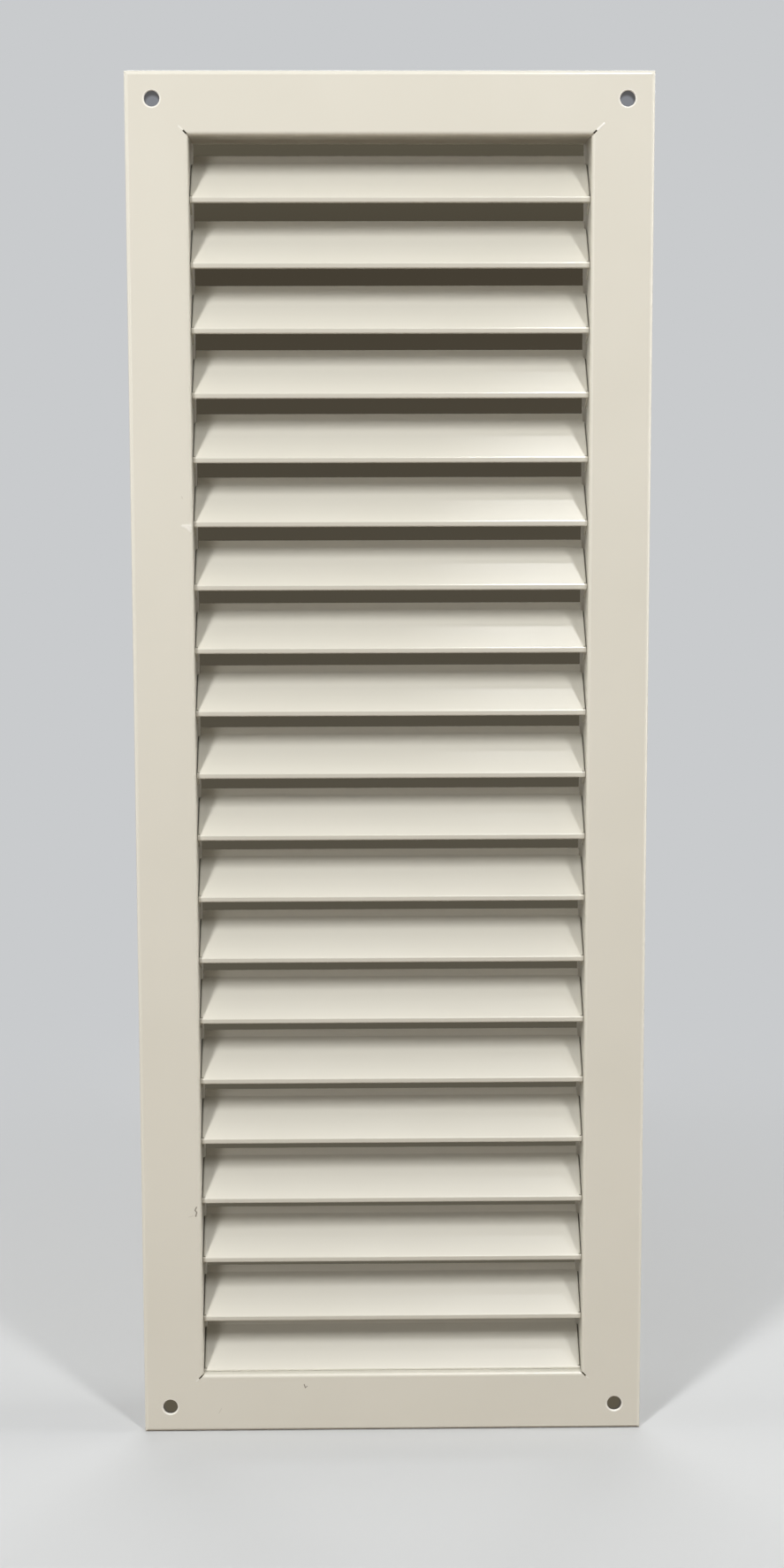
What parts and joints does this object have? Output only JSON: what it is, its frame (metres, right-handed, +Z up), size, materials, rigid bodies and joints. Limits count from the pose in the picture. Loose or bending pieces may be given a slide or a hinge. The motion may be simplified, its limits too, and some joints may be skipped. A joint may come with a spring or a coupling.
{
  "type": "return air grille",
  "caption": "Tall rectangular return air grille: a folded steel frame with a screw hole in each corner holds a stack of fixed sloping blades.",
  "frame": {"origin": "centre of the screw-hole pattern and of the opening, on the back of the face sheet", "axes": "+Z up as installed, +Y into the wall, +X along the blades to the right as seen from the room"},
  "size_m": [0.26, 0.044, 0.695],
  "materials": {
    "powder_coated_steel": "cream semi-gloss powder coat"
  },
  "bodies": {
    "root": {"frame": "powder_coated_steel", "blade_01": "powder_coated_steel", "blade_02": "powder_coated_steel", "blade_03": "powder_coated_steel", "blade_04": "powder_coated_steel", "blade_05": "powder_coated_steel", "blade_06": "powder_coated_steel", "blade_07": "powder_coated_steel", "blade_08": "powder_coated_steel", "blade_09": "powder_coated_steel", "blade_10": "powder_coated_steel", "blade_11": "powder_coated_steel", "blade_12": "powder_coated_steel", "blade_13": "powder_coated_steel", "blade_14": "powder_coated_steel", "blade_15": "powder_coated_steel", "blade_16": "powder_coated_steel", "blade_17": "powder_coated_steel", "blade_18": "powder_coated_steel", "blade_19": "powder_coated_steel", "blade_20": "powder_coated_steel"}
  },
  "joints": []
}
